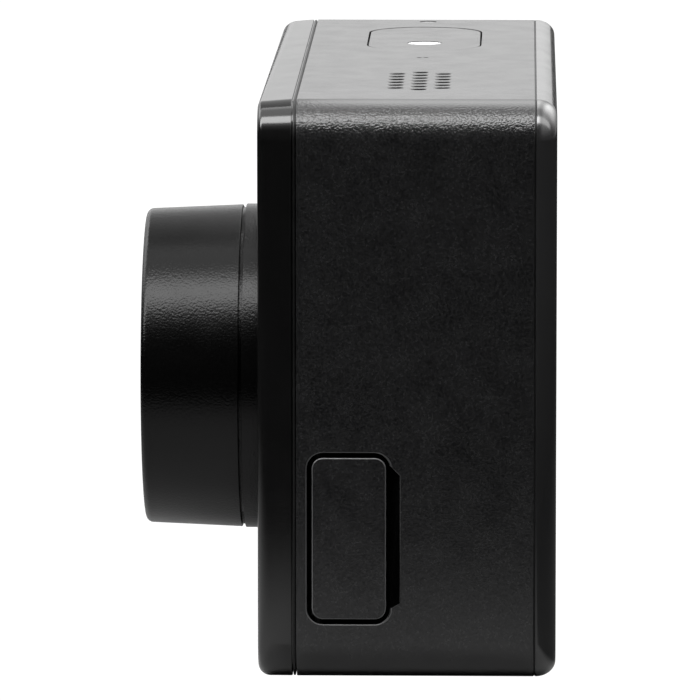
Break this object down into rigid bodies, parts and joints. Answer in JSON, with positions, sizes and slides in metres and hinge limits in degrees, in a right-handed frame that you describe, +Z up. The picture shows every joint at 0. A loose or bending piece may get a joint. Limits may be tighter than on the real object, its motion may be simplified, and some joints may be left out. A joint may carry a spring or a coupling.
{
  "type": "action camera",
  "caption": "Slim box-shaped action camera with an off-centre round lens, top shutter button and speaker grille, hinged side port door and a latched battery door.",
  "frame": {"origin": "centre of the tripod socket's mouth, in the middle of the base", "axes": "+X along the width towards the port door, -Y out of the lens, +Z up towards the shutter button"},
  "size_m": [0.065, 0.0301, 0.042],
  "materials": {
    "cover_plastic": "smooth satin black plastic",
    "frame_plastic": "fine-grained matte black plastic",
    "bezel_plastic": "smooth black plastic",
    "seal_rubber": "black silicone rubber",
    "screen_glass": "dark polished touch glass",
    "screen_panel": "dark display panel",
    "screw_steel": "plain machined steel",
    "pin_steel": "ground steel",
    "barrel_paint": "satin black, finely blasted",
    "inner_black": "matte black moulded plastic",
    "cover_glass": "coated optical glass",
    "lens_glass": "coated optical glass with a blue tint",
    "filter_glass": "pale cyan filter glass",
    "sensor_face": "dark chip with a faint sheen",
    "circuit_board": "green solder mask",
    "flex_cable": "amber polyimide film",
    "shield_steel": "tinned sheet steel",
    "spreader_metal": "thin aluminium sheet",
    "contact_gold": "gold-plated spring contacts",
    "battery_wrap": "dark grey printed-free wrap",
    "card_plastic": "black card plastic",
    "light_white": "white diffusing light pipe",
    "light_dark": "smoked light window",
    "latch_plastic": "dark grey ribbed plastic"
  },
  "bodies": {
    "camera": {"front_cover": "cover_plastic", "seam_gasket": "seal_rubber", "mid_frame": "frame_plastic", "rear_gasket": "seal_rubber", "rear_bezel": "bezel_plastic", "screen_glass": "screen_glass", "lcd_panel": "screen_panel", "case_screws": "screw_steel", "lens_base_ring": "barrel_paint", "lens_retainer": "barrel_paint", "lens_barrel": "barrel_paint", "lens_trim_ring": "barrel_paint", "lens_cover_glass": "cover_glass", "lens_seal": "seal_rubber", "lens_housing": "inner_black", "front_element": "lens_glass", "middle_elements": "lens_glass", "rear_element": "lens_glass", "lens_mount": "inner_black", "ir_filter": "filter_glass", "image_sensor": "sensor_face", "sensor_board": "circuit_board", "sensor_cable": "flex_cable", "sensor_screws": "screw_steel", "main_board": "circuit_board", "board_screws": "screw_steel", "processor_shield": "shield_steel", "heat_spreader": "spreader_metal", "card_slot": "shield_steel", "memory_card": "card_plastic", "battery": "battery_wrap", "battery_cradle": "inner_black", "battery_contacts": "contact_gold", "usb_connector": "shield_steel", "usb_board": "circuit_board", "usb_cable": "flex_cable", "speaker": "inner_black", "speaker_mesh": "shield_steel", "microphone": "inner_black", "button_board": "circuit_board", "button_cable": "flex_cable", "button_led": "light_white", "shutter_switch": "shield_steel", "wifi_antenna": "flex_cable", "top_light": "light_dark", "front_light": "light_dark", "tripod_nut": "pin_steel", "button_seal": "seal_rubber", "battery_door_pin": "pin_steel", "usb_door_pin": "pin_steel"},
    "shutter": {"shutter_button": "frame_plastic", "button_light": "light_white", "switch_plunger": "inner_black"},
    "battery_hatch": {"battery_door": "frame_plastic", "battery_door_seal": "seal_rubber"},
    "latch": {"door_latch": "latch_plastic"},
    "port_hatch": {"usb_door": "frame_plastic", "usb_door_seal": "seal_rubber"}
  },
  "joints": [
    {"name": "shutter_press", "type": "slide", "parent": "camera", "child": "shutter", "axis": [0, 0, -1], "range_m": [0, 0.0004], "stiffness_N_per_m": 1500},
    {"name": "port_door_hinge", "type": "hinge", "parent": "camera", "child": "port_hatch", "pos_m": [0.032, -0.00637, 0.01043], "axis": [0, 0, -1], "range_deg": [0, 80]},
    {"name": "battery_door_hinge", "type": "hinge", "parent": "camera", "child": "battery_hatch", "pos_m": [-0.0289, 0, 0.00125], "axis": [0, 1, 0], "range_deg": [0, 95]},
    {"name": "battery_latch_slide", "type": "slide", "parent": "battery_hatch", "child": "latch", "axis": [1, 0, 0], "range_m": [0, 0.0012]}
  ]
}
